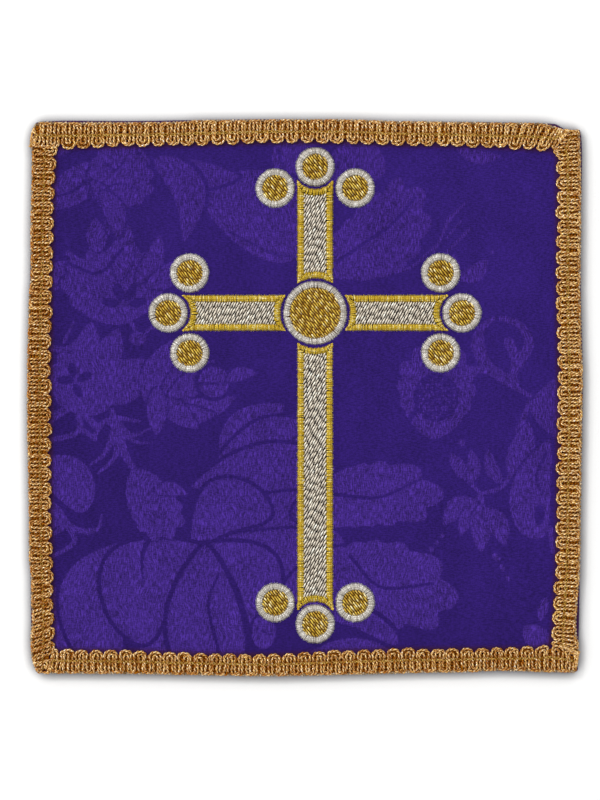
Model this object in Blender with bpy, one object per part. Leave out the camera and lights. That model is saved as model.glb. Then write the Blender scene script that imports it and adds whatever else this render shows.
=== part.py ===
"""A chalice pall: a stiff square of purple damask with a gold gimp braid sewn round its face.

It lies flat, face up. Z is up, +Y is the top of the cross on its face and +X is to the right.
The origin is the middle of its underside. Sizes are in metres; the tables are in millimetres.
"""

import bpy
import numpy as np

MM = 0.001

# Driving sizes
CLOTH_THICK = 2.2 * MM
CLOTH_ROUNDING = 0.7 * MM
CLOTH_STEP = 4.0 * MM
BRAID_THICK = 1.2 * MM
SEWN_GAP = 0.3 * MM
SEAM_GAP = 0.3 * MM
SCALLOP_PITCH = 4.3 * MM
INNER_SCALLOP_DEPTH = 0.8 * MM
OUTER_SCALLOP_DEPTH = 0.5 * MM

# One scallop from notch to notch: the share of its length, and of its depth from notch to crest
SCALLOP_PROFILE = [(0.0, 0.0), (0.2, 0.75), (0.5, 1.0), (0.8, 0.75)]

# The four sides clockwise from the top: the way along each one, and the way out of it
SIDE_DIRECTIONS = {
    "top": ((1, 0), (0, 1)),
    "right": ((0, -1), (1, 0)),
    "bottom": ((-1, 0), (0, -1)),
    "left": ((0, 1), (-1, 0)),
}

# The uneven edges of each side, in millimetres from the middle of the pall. A row holds the place
# along the side, the edge of the cloth, and the middle lines of the braid's outer and inner scallops.
SIDE_ROWS = {
    "top": [
        (-70, 80.4, 79.8, 72.6),
        (-50, 80.3, 79.8, 73.1),
        (-30, 80.6, 80.1, 73.5),
        (-10, 80.8, 80.3, 74.2),
        (10, 80.5, 80.4, 74.2),
        (30, 80.2, 80.1, 73.4),
        (50, 80.0, 79.9, 73.0),
        (70, 79.6, 79.4, 72.0),
    ],
    "right": [
        (-70, 80.4, 80.0, 73.1),
        (-50, 80.1, 79.8, 73.2),
        (-30, 80.1, 79.8, 73.1),
        (-10, 80.6, 80.2, 73.5),
        (10, 80.5, 80.0, 73.4),
        (30, 79.9, 79.7, 73.2),
        (50, 79.8, 79.5, 72.9),
        (68, 79.5, 78.8, 71.8),
    ],
    "bottom": [
        (-68, 79.6, 79.5, 72.4),
        (-50, 79.4, 79.3, 72.8),
        (-30, 79.7, 79.6, 72.9),
        (-10, 80.2, 80.2, 73.5),
        (10, 80.6, 80.6, 74.6),
        (30, 80.3, 80.3, 74.2),
        (50, 80.1, 80.0, 73.5),
        (70, 79.9, 79.8, 73.2),
    ],
    "left": [
        (-70, 79.6, 79.5, 72.9),
        (-50, 79.8, 79.8, 73.5),
        (-30, 80.1, 80.0, 73.8),
        (-10, 80.4, 80.4, 73.9),
        (10, 80.4, 80.4, 73.9),
        (30, 80.0, 79.9, 73.7),
        (50, 79.6, 79.5, 73.3),
        (70, 79.3, 79.1, 72.5),
    ],
}

# The corners clockwise, as X and Y in millimetres: where two lengths of braid meet on the inside,
# where they meet on the outside, and the outline's points just before and just after that. One
# length runs on through each corner and the other ends against it.
CORNERS = {
    "top_left": {
        "inner": (-72.4, 72.5),
        "before": [],
        "outer": (-79.3, 73.0),
        "after": [(-79.2, 76.6), (-78.3, 79.1), (-77.0, 79.9)],
    },
    "top_right": {
        "inner": (71.9, 71.5),
        "before": [(72.8, 78.5)],
        "outer": (75.7, 77.3),
        "after": [(78.0, 77.3), (79.7, 77.4)],
    },
    "bottom_right": {
        "inner": (70.9, -71.4),
        "before": [],
        "outer": (79.1, -73.9),
        "after": [(78.8, -76.8), (78.3, -79.7)],
    },
    "bottom_left": {
        "inner": (-72.9, -72.9),
        "before": [],
        "outer": (-74.6, -79.7),
        "after": [(-77.8, -79.6), (-78.6, -77.4), (-79.3, -74.8)],
    },
}
SIDE_ENDS = {
    "top": ("top_left", "top_right"),
    "right": ("top_right", "bottom_right"),
    "bottom": ("bottom_right", "bottom_left"),
    "left": ("bottom_left", "top_left"),
}
CORNER_PEEK = 0.2 * MM

# Colour, roughness and metallic value of each material
FINISHES = {
    "purple damask": ((0.035, 0.012, 0.150, 1.0), 0.55, 0.0),
    "gold gimp": ((0.60, 0.36, 0.10, 1.0), 0.35, 0.8),
}


def clear_scene():
    for thing in list(bpy.data.objects):
        bpy.data.objects.remove(thing)


def make_collection(name):
    collection = bpy.data.collections.new(name)
    bpy.context.scene.collection.children.link(collection)
    return collection


def make_material(name, owner):
    colour, roughness, metallic = FINISHES[name]
    material = bpy.data.materials.new(f"{name} {owner}")
    material.use_nodes = True
    shader = material.node_tree.nodes["Principled BSDF"]
    shader.inputs["Base Color"].default_value = colour
    shader.inputs["Roughness"].default_value = roughness
    shader.inputs["Metallic"].default_value = metallic
    return material


def smooth_curve(points, step):
    """Points about step apart on the smooth curve that runs through the given points."""
    points = np.asarray(points, float)
    padded = np.vstack([2 * points[0] - points[1], points, 2 * points[-1] - points[-2]])
    made = []
    for before, start, end, after in zip(padded, padded[1:], padded[2:], padded[3:]):
        pieces = max(1, round(np.linalg.norm(end - start) / step))
        for t in np.arange(pieces) / pieces:
            bend = (end - before) * t + (2 * before - 5 * start + 4 * end - after) * t**2
            bend = bend + (3 * start - before - 3 * end + after) * t**3
            made.append(start + bend / 2)
    made.append(points[-1])
    return np.array(made)


def side_points(side, column):
    """One column of a side's table as points on the pall, in metres."""
    along, out = (np.array(direction, float) for direction in SIDE_DIRECTIONS[side])
    return [(row[0] * along + row[column] * out) * MM for row in SIDE_ROWS[side]]


def corner_points(corner, name):
    found = CORNERS[corner][name]
    points = [found] if isinstance(found, tuple) else found
    return [np.array(point, float) * MM for point in points]


def cloth_outline():
    """The cloth's edge clockwise, as the photo's uneven square."""
    points = []
    for side, (_, corner) in SIDE_ENDS.items():
        points += side_points(side, 1)
        turn = [point for name in ("before", "outer", "after") for point in corner_points(corner, name)]
        points += [point * (1 + CORNER_PEEK / np.linalg.norm(point)) for point in turn]
    points.append(points[0])
    return smooth_curve(points, CLOTH_STEP)[:-1]


def scalloped(line, depth, phase):
    """The line again with scallops that stand out to its left, phase of a scallop further along."""
    fine = smooth_curve(line, SCALLOP_PITCH / 8)
    steps = np.diff(fine, axis=0)
    travelled = np.concatenate([[0], np.cumsum(np.linalg.norm(steps, axis=1))])
    count = round(travelled[-1] / SCALLOP_PITCH)
    pitch = travelled[-1] / count
    made = [fine[0]]
    for number in range(-1, count + 1):
        for share, height in SCALLOP_PROFILE:
            place = (number + phase + share) * pitch
            if not 0.2 * pitch < place < travelled[-1] - 0.2 * pitch:
                continue
            at = np.array([np.interp(place, travelled, fine[:, k]) for k in (0, 1)])
            ahead = steps[min(np.searchsorted(travelled, place), len(steps)) - 1]
            left = np.array([-ahead[1], ahead[0]]) / np.linalg.norm(ahead)
            made.append(at + left * (height - 0.5) * depth)
    made.append(fine[-1])
    return made


def off_the_seam(points, corner, inside):
    """The points moved half a seam away from the line on which two lengths of braid meet."""
    inner, outer = (corner_points(corner, name)[0] for name in ("inner", "outer"))
    seam = (outer - inner) / np.linalg.norm(outer - inner)
    away = np.array([-seam[1], seam[0]])
    if np.dot(inside - inner, away) < 0:
        away = -away
    return [point + away * SEAM_GAP / 2 for point in points]


def braid_outline(side):
    """One length of braid: its outer edge clockwise, then its inner edge back."""
    first, last = SIDE_ENDS[side]
    outer = side_points(side, 2)
    inner = side_points(side, 3)
    middle = inner[len(inner) // 2]
    start_in, start_out = off_the_seam(
        corner_points(first, "inner") + corner_points(first, "outer"), first, middle
    )
    end_in, end_out = off_the_seam(
        corner_points(last, "inner") + corner_points(last, "outer"), last, middle
    )
    after_start = corner_points(first, "after")
    before_end = corner_points(last, "before")
    outer_line = [start_out, *after_start, *outer, *before_end, end_out]
    inner_line = [start_in, *inner, end_in]
    outer_edge = scalloped(outer_line, OUTER_SCALLOP_DEPTH, 0.5)
    inner_edge = scalloped(inner_line[::-1], INNER_SCALLOP_DEPTH, 0.0)
    return np.array(outer_edge + inner_edge)


def flat_piece(name, outline, bottom, thick, rounding, finish, collection):
    """A solid of the given outline that stands from bottom to bottom + thick."""
    curve = bpy.data.curves.new(name, "CURVE")
    curve.dimensions = "2D"
    curve.fill_mode = "BOTH"
    curve.extrude = thick / 2 - rounding
    curve.bevel_depth = rounding
    curve.bevel_resolution = 1
    curve.offset = -rounding
    spline = curve.splines.new("POLY")
    spline.points.add(len(outline) - 1)
    for point, (x, y) in zip(spline.points, outline):
        point.co = (x, y, 0, 1)
    spline.use_cyclic_u = True
    piece = bpy.data.objects.new(name, curve)
    piece.location.z = bottom + thick / 2
    curve.materials.append(make_material(finish, name))
    collection.objects.link(piece)
    return piece


def build_pall():
    clear_scene()
    collection = make_collection("chalice pall")
    cloth = cloth_outline()
    lengths = {side: braid_outline(side) for side in SIDE_DIRECTIONS}
    everything = np.vstack([cloth, *lengths.values()])
    middle = (everything.min(axis=0) + everything.max(axis=0)) / 2
    flat_piece(
        "damask_panel", cloth - middle, 0, CLOTH_THICK, CLOTH_ROUNDING, "purple damask", collection
    )
    for side, outline in lengths.items():
        flat_piece(
            f"braid_{side}",
            outline - middle,
            CLOTH_THICK + SEWN_GAP,
            BRAID_THICK,
            0,
            "gold gimp",
            collection,
        )


build_pall()
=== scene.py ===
"""The looks of a chalice pall: purple damask, a gold gimp braid and an embroidered cross.

It lies face up where its solids are. Sizes and tables are in millimetres, and each mesh is made
in metres. X is to the right, +Y is the top of the cross and Z is up.
"""

import math

import bmesh
import bpy
import numpy as np
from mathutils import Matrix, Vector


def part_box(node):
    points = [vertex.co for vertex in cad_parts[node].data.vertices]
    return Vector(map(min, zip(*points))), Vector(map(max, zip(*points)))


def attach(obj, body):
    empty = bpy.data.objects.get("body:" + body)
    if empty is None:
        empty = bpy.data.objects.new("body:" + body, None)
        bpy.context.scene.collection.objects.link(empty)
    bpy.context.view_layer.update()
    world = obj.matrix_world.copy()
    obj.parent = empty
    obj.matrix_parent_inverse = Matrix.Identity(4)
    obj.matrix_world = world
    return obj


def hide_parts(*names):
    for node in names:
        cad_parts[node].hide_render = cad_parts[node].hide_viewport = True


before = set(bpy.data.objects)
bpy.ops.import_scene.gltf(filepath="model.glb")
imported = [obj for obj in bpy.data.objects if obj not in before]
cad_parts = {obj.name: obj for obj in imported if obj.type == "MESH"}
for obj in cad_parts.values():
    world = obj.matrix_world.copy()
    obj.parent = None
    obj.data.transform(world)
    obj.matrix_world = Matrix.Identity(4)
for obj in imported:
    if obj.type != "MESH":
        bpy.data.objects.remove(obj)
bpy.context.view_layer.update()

MM = 0.001
UP = np.array([0.0, 0.0, 1.0])
random = np.random.default_rng(27)

# Driving sizes
CLOTH_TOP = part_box("damask_panel")[1].z / MM
PANEL_HALF = 80.0
FACE_HALF = 75.2
FACE_CELLS = 280
HEM_WIDTH = 10.0
BACK_RECESS = 0.4
HEM_STITCH_SPACING = 6.0
HEM_STITCH_RADIUS = 0.11
BRAID_PITCH = 4.3
BRAID_WIDTH = 6.7
CONTACT_SHADOW = 3.8

# The four sides clockwise from the top: the way along each one, and the way out of it
SIDE_DIRECTIONS = {
    "top": ((1, 0), (0, 1)),
    "right": ((0, -1), (1, 0)),
    "bottom": ((-1, 0), (0, -1)),
    "left": ((0, 1), (-1, 0)),
}

# The uneven edges of each side, from the middle of the pall. A row holds the place along the side,
# the edge of the cloth, and the middle lines of the braid's outer and inner scallops.
SIDE_ROWS = {
    "top": [
        (-70, 80.4, 79.8, 72.6),
        (-50, 80.3, 79.8, 73.1),
        (-30, 80.6, 80.1, 73.5),
        (-10, 80.8, 80.3, 74.2),
        (10, 80.5, 80.4, 74.2),
        (30, 80.2, 80.1, 73.4),
        (50, 80.0, 79.9, 73.0),
        (70, 79.6, 79.4, 72.0),
    ],
    "right": [
        (-70, 80.4, 80.0, 73.1),
        (-50, 80.1, 79.8, 73.2),
        (-30, 80.1, 79.8, 73.1),
        (-10, 80.6, 80.2, 73.5),
        (10, 80.5, 80.0, 73.4),
        (30, 79.9, 79.7, 73.2),
        (50, 79.8, 79.5, 72.9),
        (68, 79.5, 78.8, 71.8),
    ],
    "bottom": [
        (-68, 79.6, 79.5, 72.4),
        (-50, 79.4, 79.3, 72.8),
        (-30, 79.7, 79.6, 72.9),
        (-10, 80.2, 80.2, 73.5),
        (10, 80.6, 80.6, 74.6),
        (30, 80.3, 80.3, 74.2),
        (50, 80.1, 80.0, 73.5),
        (70, 79.9, 79.8, 73.2),
    ],
    "left": [
        (-70, 79.6, 79.5, 72.9),
        (-50, 79.8, 79.8, 73.5),
        (-30, 80.1, 80.0, 73.8),
        (-10, 80.4, 80.4, 73.9),
        (10, 80.4, 80.4, 73.9),
        (30, 80.0, 79.9, 73.7),
        (50, 79.6, 79.5, 73.3),
        (70, 79.3, 79.1, 72.5),
    ],
}

# The corners clockwise: where two lengths of braid meet on the inside, where they meet on the
# outside, and the outline's points just before and just after that
CORNERS = {
    "top_left": {
        "inner": [(-72.4, 72.5)],
        "before": [],
        "outer": [(-79.3, 73.0)],
        "after": [(-79.2, 76.6), (-78.3, 79.1), (-77.0, 79.9)],
    },
    "top_right": {
        "inner": [(71.9, 71.5)],
        "before": [(72.8, 78.5)],
        "outer": [(75.7, 77.3)],
        "after": [(78.0, 77.3), (79.7, 77.4)],
    },
    "bottom_right": {
        "inner": [(70.9, -71.4)],
        "before": [],
        "outer": [(79.1, -73.9)],
        "after": [(78.8, -76.8), (78.3, -79.7)],
    },
    "bottom_left": {
        "inner": [(-72.9, -72.9)],
        "before": [],
        "outer": [(-74.6, -79.7)],
        "after": [(-77.8, -79.6), (-78.6, -77.4), (-79.3, -74.8)],
    },
}
# How far the cloth shows past the braid at each of a corner's points
CORNER_PEEK = {"before": 0.8, "outer": 0.3, "after": 0.2}
# The corners at which each side starts and ends
SIDE_ENDS = {
    "top": ("top_left", "top_right"),
    "right": ("top_right", "bottom_right"),
    "bottom": ("bottom_right", "bottom_left"),
    "left": ("bottom_left", "top_left"),
}

# How far the cords of each side lean from square, as rise over run, at places along the side
CORD_LEAN = {
    "top": [(-80, 0.0), (-60, 0.0), (55, 0.05), (66, 0.35), (76, 0.7)],
    "right": [(-80, -0.1), (-60, 0.0), (60, 0.0), (74, 0.1)],
    "bottom": [(-80, 0.0), (60, 0.0), (75, 0.1)],
    "left": [(-80, 0.0), (-76, -0.35), (-66, -0.45), (-56, -0.15), (-45, 0.0), (80, 0.0)],
}

# How far in from the outer scallops' middle line the cords of each side stay, at places along it
OUTER_TRIM = {
    "top": [(-77, 0.3), (-36, 0.4), (-32, 0.0), (15, 0.1), (25, 0.35), (55, 0.4), (66, 0.1), (71, 0.4)],
    "right": [(-72, 0.4), (-50, 0.1), (-34, 0.3), (-17, 0.3), (-8, 0.0), (52, 0.1), (57, 0.5), (66, 0.6),
              (71, 0.0)],
    "bottom": [(-68, 0.2), (-62, 0.4), (-54, 0.4), (-46, 0.0), (70, 0.1)],
    "left": [(-70, 0.1), (-65, 0.6), (-52, 0.6), (-47, 0.1), (30, 0.1), (34, 0.5), (41, 0.5), (46, 0.2)],
}
# How far past the inner scallops' middle line the cords of each side reach
INNER_REACH = {"top": 0.3, "right": 0.22, "bottom": 0.0, "left": 0.2}


# Lines and outlines


def smooth_curve(points, step):
    """Points about step apart on the smooth curve that runs through the given points."""
    points = np.asarray(points, float)
    padded = np.vstack([2 * points[0] - points[1], points, 2 * points[-1] - points[-2]])
    made = []
    for before, start, end, after in zip(padded, padded[1:], padded[2:], padded[3:]):
        pieces = max(1, round(np.linalg.norm(end - start) / step))
        for t in np.arange(pieces) / pieces:
            bend = (end - before) * t + (2 * before - 5 * start + 4 * end - after) * t**2
            bend = bend + (3 * start - before - 3 * end + after) * t**3
            made.append(start + bend / 2)
    made.append(points[-1])
    return np.array(made)


def travelled(line):
    """How far along the line each of its points is."""
    steps = np.linalg.norm(np.diff(line, axis=0), axis=1)
    return np.concatenate([[0], np.cumsum(steps)])


def evenly(line, step):
    """The line again, with points step apart."""
    along = travelled(line)
    places = np.linspace(0, along[-1], max(3, round(along[-1] / step)))
    return np.stack([np.interp(places, along, column) for column in line.T], axis=1)


def cloth_outline():
    """The cloth's edge clockwise, as its solid has it."""
    points = []
    for side, (_, corner) in SIDE_ENDS.items():
        along, out = np.array(SIDE_DIRECTIONS[side], float)
        points += [row[0] * along + row[1] * out for row in SIDE_ROWS[side]]
        for name, peek in CORNER_PEEK.items():
            turn = np.array(CORNERS[corner][name], float).reshape(-1, 2)
            points += list(turn * (1 + peek / np.linalg.norm(turn, axis=1, keepdims=True)))
    points.append(points[0])
    return smooth_curve(points, 1.0)[:-1]


def outline_middle():
    """Where the middle of the pall's box is in the tables' own millimetres."""
    outline = cloth_outline()
    low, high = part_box("damask_panel")
    placed = np.array([low.x + high.x, low.y + high.y]) / 2 / MM
    return (outline.min(axis=0) + outline.max(axis=0)) / 2 - placed


OUTLINE_MIDDLE = outline_middle()


def outline_radius(outline, angles):
    """How far the outline is from the middle in each direction."""
    found = np.arctan2(outline[:, 1], outline[:, 0])
    order = np.argsort(found)
    reach = np.linalg.norm(outline, axis=1)
    return np.interp(angles, found[order], reach[order], period=2 * math.pi)


def edge_gaps(places, start, edge):
    """How far each place is from each edge, and at which share of the edge it is nearest."""
    x, y = places[:, :1] - start[:, 0], places[:, 1:] - start[:, 1]
    share = ((x * edge[:, 0] + y * edge[:, 1]) / (edge**2).sum(1)).clip(0, 1)
    return np.hypot(x - share * edge[:, 0], y - share * edge[:, 1]), share


def inside_depth(places, outline):
    """How far inside a closed outline each place lies, negative outside it."""
    start, end = outline, np.roll(outline, -1, axis=0)
    edge = end - start
    apart, _ = edge_gaps(places, start, edge)
    x, y = places[:, :1], places[:, 1:]
    crosses = (start[:, 1] > y) != (end[:, 1] > y)
    rise = np.where(edge[:, 1] == 0, 1, edge[:, 1])
    left = x < start[:, 0] + (y - start[:, 1]) * edge[:, 0] / rise
    inside = (crosses & left).sum(1) % 2 == 1
    return np.where(inside, 1, -1) * apart.min(1)


def stroke_depth(places, line, start_width, end_width):
    """How far inside a tapered stroke each place lies, negative outside it."""
    apart, share = edge_gaps(places, line[:-1], np.diff(line, axis=0))
    halves = np.linspace(start_width, end_width, len(line)) / 2
    return (halves[:-1] + share * np.diff(halves) - apart).max(1)


def unit(vectors):
    """The vectors, in rows, each made one long."""
    return vectors / np.linalg.norm(vectors, axis=-1, keepdims=True)


def walk_round(outline, step):
    """Points about step apart round a closed outline, and the way along it at each of them."""
    edge = evenly(np.vstack([outline, outline[:1]]), step)[:-1]
    return edge, unit(np.roll(edge, -1, axis=0) - np.roll(edge, 1, axis=0))


# Meshes


def put_in_scene(name, data):
    """An object of a mesh, a light or a camera, in the scene."""
    piece = bpy.data.objects.new(name, data)
    bpy.context.scene.collection.objects.link(piece)
    return piece


def store(mesh, name, values):
    """Keeps a number, or three, for each point of the mesh."""
    values = np.asarray(values, np.float32)
    kind, field = ("FLOAT", "value") if values.ndim == 1 else ("FLOAT_VECTOR", "vector")
    mesh.attributes.new(name, kind, "POINT").data.foreach_set(field, values.ravel())


def belong(piece, node):
    """The piece stands for a node of the frame and rides on its body."""
    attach(piece, "root")
    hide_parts(node)
    return piece


def tubes(paths, radii, sides, tones):
    """Closed tubes round paths of equally many points: points, faces, and what each point keeps."""
    paths = np.asarray(paths, float)
    threads, count = paths.shape[:2]
    ahead = np.gradient(paths, axis=1)
    ahead /= np.linalg.norm(ahead, axis=2, keepdims=True) + 1e-9
    beside = np.cross(ahead, UP)
    beside /= np.linalg.norm(beside, axis=2, keepdims=True) + 1e-9
    above = np.cross(beside, ahead)
    turn = 2 * math.pi * np.arange(sides) / sides
    round_it = np.cos(turn)[:, None] * beside[:, :, None] + np.sin(turn)[:, None] * above[:, :, None]
    radii = np.broadcast_to(np.asarray(radii, float), (threads, count))
    points = paths[:, :, None] + radii[:, :, None, None] * round_it
    steps = np.linalg.norm(np.diff(paths, axis=1), axis=2)
    along = np.concatenate([np.zeros((threads, 1)), np.cumsum(steps, axis=1)], axis=1)
    kept = {
        "along": np.repeat(along.ravel(), sides),
        "turn": np.tile(np.stack([np.cos(turn), np.sin(turn), 0 * turn], 1), (threads * count, 1)),
        "tone_and_painted_light": np.repeat(np.broadcast_to(tones.reshape(threads, -1), (threads, count)).ravel(), sides),
    }
    number = np.arange(threads * count * sides).reshape(threads, count, sides)
    after = np.roll(number, -1, axis=2)
    quads = np.stack([number[:, :-1], number[:, 1:], after[:, 1:], after[:, :-1]], axis=-1)
    caps = number[:, 0].tolist() + number[:, -1, ::-1].tolist()
    return points.reshape(-1, 3), quads.reshape(-1, 4).tolist() + caps, kept


def thread_piece(name, bundles, material, node, slot):
    """One piece of many threads, from what tubes gives for each bundle."""
    points, faces, kept = [], [], {"along": [], "turn": [], "tone_and_painted_light": []}
    total = 0
    for found, found_faces, values in bundles:
        points.append(found)
        faces += [[corner + total for corner in face] for face in found_faces]
        total += len(found)
        for key, value in values.items():
            kept[key].append(value)
    mesh = bpy.data.meshes.new(name)
    mesh.from_pydata((np.vstack(points) * MM).tolist(), [], faces)
    for key, value in kept.items():
        store(mesh, key, np.concatenate(value))
    mesh.shade_smooth()
    mesh.materials.append(material)
    return belong(put_in_scene(name, mesh), node)


# Node helpers


class Value:
    """What a node gives. Sums of values and numbers make more nodes."""

    def __init__(self, socket):
        self.socket = socket
        self.tree = socket.id_data

    def made(self, operation, *others):
        """What a Math node makes of the value and of others."""
        return value_from(self.tree, "ShaderNodeMath", self, *others, operation=operation)

    def __add__(self, other):
        return self.made("ADD", other)

    def __sub__(self, other):
        return self.made("SUBTRACT", other)

    def __rsub__(self, other):
        return value_from(self.tree, "ShaderNodeMath", other, self, operation="SUBTRACT")

    def __mul__(self, other):
        return self.made("MULTIPLY", other)

    def __truediv__(self, other):
        return self.made("DIVIDE", other)

    def mapped(self, low, high, to_low=0.0, to_high=1.0, kind="LINEAR"):
        """The value brought from one range to another, straight."""
        ends = (low, high, to_low, to_high)
        return value_from(self.tree, "ShaderNodeMapRange", self, *ends, interpolation_type=kind)

    def eased(self, *ends):
        """The value brought from one range to another, smoothly at both ends."""
        return self.mapped(*ends, kind="SMOOTHSTEP")


def put_in(slot, value):
    """Gives an input what a node gives, or a number or colour of its own."""
    if isinstance(value, Value):
        value.tree.links.new(value.socket, slot)
    else:
        slot.default_value = value


def add_node(tree, kind, *inputs, **values):
    """A node with its first inputs in order, and its properties and other inputs by name."""
    node = tree.nodes.new(kind)
    for key, value in values.items():
        if hasattr(node, key):
            setattr(node, key, value)
        else:
            put_in(node.inputs[key.replace("_", " ")], value)
    for slot, value in zip(node.inputs, inputs):
        put_in(slot, value)
    return node


def value_from(tree, kind, *inputs, output=0, **values):
    """What one output of a new node gives."""
    return Value(add_node(tree, kind, *inputs, **values).outputs[output])


def values_of(node):
    """What each output of a node gives, by its name."""
    return {socket.name: Value(socket) for socket in node.outputs}


def attribute(tree, name, output="Fac"):
    """What the mesh keeps at each point under a name."""
    return value_from(tree, "ShaderNodeAttribute", output=output, attribute_name=name)


def axes(vector):
    """A vector's parts along X, Y and Z."""
    return values_of(add_node(vector.tree, "ShaderNodeSeparateXYZ", vector)).values()


def object_place(tree):
    """Object coordinates, and their parts along X and Y."""
    place = value_from(tree, "ShaderNodeTexCoord", output="Object")
    x, y, _ = axes(place)
    return place, x, y


def mix_colours(tree, share, first, second, blend="MIX"):
    """The second colour over the first by a share."""
    node = add_node(tree, "ShaderNodeMix", data_type="RGBA", blend_type=blend)
    for number, value in ((0, share), (6, first), (7, second)):
        put_in(node.inputs[number], value)
    return Value(node.outputs[2])


def noise(place, detail=2.0, roughness=0.5):
    """Noise whose spots are one across."""
    looks = {"Scale": 1.0, "Detail": detail, "Roughness": roughness}
    return value_from(place.tree, "ShaderNodeTexNoise", place, output="Fac", **looks)


def noise_at(place, size, *looks):
    """Noise whose spots have their own size along each axis, in millimetres."""
    scale = [1 / (MM * part) for part in size]
    return noise(value_from(place.tree, "ShaderNodeMapping", place, Scale=scale), *looks)


def new_group(name, inputs, outputs):
    """An empty shader group of named values: what it is given, and the inputs that take its results."""
    group = bpy.data.node_groups.new(name, "ShaderNodeTree")
    for way, labels in (("INPUT", inputs), ("OUTPUT", outputs)):
        for label in labels:
            group.interface.new_socket(label, in_out=way, socket_type="NodeSocketFloat")
    return group, values_of(group.nodes.new("NodeGroupInput")), group.nodes.new("NodeGroupOutput").inputs


def place_group(tree, group, **values):
    """What a shared effect gives with a material's own values."""
    return values_of(add_node(tree, "ShaderNodeGroup", node_tree=group, **values))


def new_material(name, **values):
    """A material with a Principled BSDF, its tree and that shader's inputs."""
    material = bpy.data.materials.new(name)
    material.use_nodes = True
    shader = material.node_tree.nodes["Principled BSDF"].inputs
    for key, value in values.items():
        shader[key.replace("_", " ")].default_value = value
    return material, material.node_tree, shader


def finish_material(shader, colour, roughness, height, distance, strength):
    """Gives a shader its colour, its roughness and its bump, so many millimetres high."""
    bump = {"Height": height, "Distance": distance * MM, "Strength": strength}
    put_in(shader["Base Color"], colour)
    put_in(shader["Roughness"], roughness)
    put_in(shader["Normal"], value_from(height.tree, "ShaderNodeBump", **bump))


# Shared effects

# How far apart in the noise the painted glints (flecks) of threads of different tones are
THREADS_APART = 97.0
# The size of the cloth's slubs and of its lines across, along X, Y and Z, and how far slubs sway
SLUB_SIZE = (0.25, 2.2, 2.2)
LINE_SIZE = (1.0, 0.3, 1.0)
SLUB_SWAY = 5.0


def thread_twist_group():
    """A wrapped thread's fine turns: their height and grooves with painted shade, the thread's painted
    glints (flecks) and its tone.
    """
    group, given, results = new_group(
        "thread twist", ["Turn Length", "Fleck Length"], ["Height", "Groove Shade", "Fleck", "Tone And Painted Light"]
    )
    along, tone_and_painted_light = attribute(group, "along"), attribute(group, "tone_and_painted_light")
    x, y, _ = axes(attribute(group, "turn", "Vector"))
    angle = along / given["Turn Length"] * (2 * math.pi)
    height = angle.made("SINE") * x + angle.made("COSINE") * y
    spot = value_from(group, "ShaderNodeCombineXYZ", along / given["Fleck Length"], tone_and_painted_light * THREADS_APART)
    uneven = noise(spot, 1.5)
    groove_shade = (height + (uneven - 0.5) * 2.5).eased(-0.8, 0.2, 1.0, 0.0)
    painted_glint_share = uneven.eased(0.51, 0.62) * tone_and_painted_light.eased(0.2, 0.7, 0.25, 1.0) * (1.0 - groove_shade)
    for slot, value in zip(results, (height, groove_shade, painted_glint_share, tone_and_painted_light)):
        put_in(slot, value)
    return group


def weave_group():
    """The cloth's threads: their height, the slubs that run down it and the lines across it."""
    group, given, results = new_group("weave", ["Thread Pitch"], ["Height", "Slub", "Line"])
    place, x, y = object_place(group)
    across = x + noise_at(place, (9, 9, 9), 1.0) * (SLUB_SWAY * MM)
    swayed = value_from(group, "ShaderNodeCombineXYZ", across, y)
    waves = [(axis / given["Thread Pitch"] * (2 * math.pi)).made("SINE") for axis in (x, y)]
    slub = noise_at(swayed, SLUB_SIZE, 3.0, 0.6).eased(0.38, 0.70)
    line = noise_at(place, LINE_SIZE).eased(0.3, 0.7)
    for slot, value in zip(results, (waves[0] * waves[1] + line, slub, line)):
        put_in(slot, value)
    return group


THREAD_TWIST = thread_twist_group()
WEAVE = weave_group()


# Materials

THREAD_PITCH = 0.30
# The figure's ragged edge: the size of its threads along each axis, how far they stand out, and over
# which depths the figure begins
RAGGED_SIZE = (0.3, 1.1, 1.1)
RAGGED_DEPTH = 1.1
FIGURE_EDGE = (-0.16, 0.2)
# The size of the cloth's lighter patches along each axis, and how strong they are
PATCH_SIZE = (9, 14, 14)
PATCH_STRENGTH = 0.5
# How strong slubs and lines are, and how rough the cloth is, on the ground and on the figure
SLUB_STRENGTH = (0.3, 1.3)
LINE_STRENGTH = (0.52, 0.56)
DAMASK_ROUGHNESS = (0.62, 0.5)
# How much the threads, the figure and the slubs stand out
THREAD_RELIEF = 0.35
FIGURE_RELIEF = 1.2
SLUB_RELIEF = 0.8
# The cloth's colours with painted light: the ground painted darker to the lower left and lighter to the
# upper right, and the figure painted lighter towards the bottom
GROUND_PAINTED_SHADE_LOWER_LEFT = (0.0212, 0.0070, 0.110, 1)
GROUND_PAINTED_LIGHT_UPPER_RIGHT = (0.0272, 0.0096, 0.143, 1)
FIGURE_PAINTED_SHADE_TOP = (0.0380, 0.0134, 0.170, 1)
FIGURE_PAINTED_LIGHT_BOTTOM = (0.0430, 0.0160, 0.186, 1)
# The colour of the painted shade in the gaps between the stitches, browned under the gold by a painted
# reflection of it, and of the painted shadow on the cloth close to the braid, and between which depths
# each comes in
STITCH_SHADOWS = {"under_silver": (0.012, 0.010, 0.014, 1), "under_gold": (0.13, 0.05, 0.008, 1)}
BRAID_SHADOW = (0.045, 0.010, 0.028, 1)
STITCH_SHADE = (0.2, 0.9)
BRAID_SHADE = (-0.4, 1.3, 0.75, 0.0)
# The floor's pale colour, and the colour of its painted contact shadow
FLOOR_PALE = (0.97, 0.97, 0.965, 1)
FLOOR_SHADOW = (0.27, 0.27, 0.28, 1)
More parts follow.
